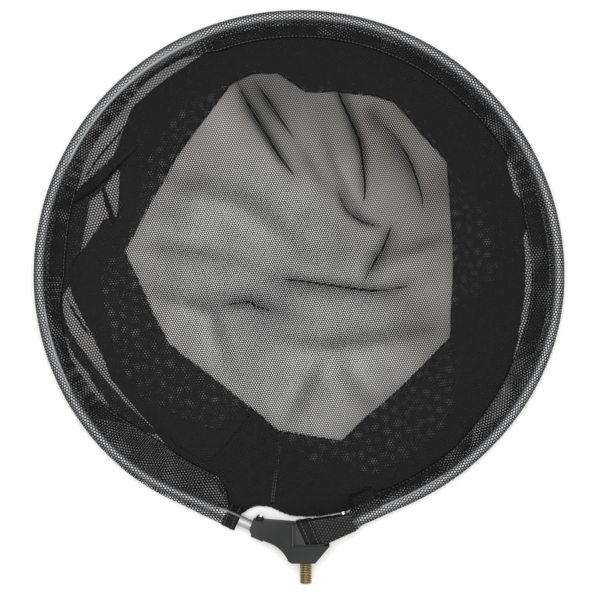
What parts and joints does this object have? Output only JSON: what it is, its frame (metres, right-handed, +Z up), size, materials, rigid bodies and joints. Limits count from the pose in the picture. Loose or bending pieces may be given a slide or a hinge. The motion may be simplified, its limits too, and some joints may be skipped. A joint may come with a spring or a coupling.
{
  "type": "landing net head",
  "caption": "Round landing-net head: a tube hoop with a fine mesh bag, a moulded spreader block and a threaded stud that screws into a handle.",
  "frame": {"origin": "on the stud's axis where the stud leaves the block, in the plane of the hoop", "axes": "+X to the right seen from above, +Y from the stud towards the hoop, +Z up, away from the surface it lies on"},
  "size_m": [0.4016, 0.4333, 0.0205],
  "materials": {
    "hoop_alloy": "satin drawn tube",
    "block_plastic": "fine moulded texture",
    "stud_brass": "yellow passivated, machined thread",
    "screw_steel": "zinc plated",
    "net_mesh": "knitted micromesh, open holes of about 2 mm",
    "hem_mesh": "micromesh folded double and stitched",
    "seam_thread": "overlocked thread"
  },
  "bodies": {
    "root": {"hoop_tube": "hoop_alloy", "block_front_shell": "block_plastic", "block_rear_shell": "block_plastic", "threaded_stud": "stud_brass", "arm_screws": "screw_steel", "shell_screw": "screw_steel", "net_sleeve": "net_mesh", "sleeve_hem_left": "hem_mesh", "sleeve_hem_right": "hem_mesh", "rim_seam": "seam_thread", "net_wall": "net_mesh", "wall_side_seam": "seam_thread", "base_seam": "seam_thread", "net_base": "net_mesh"}
  },
  "joints": []
}
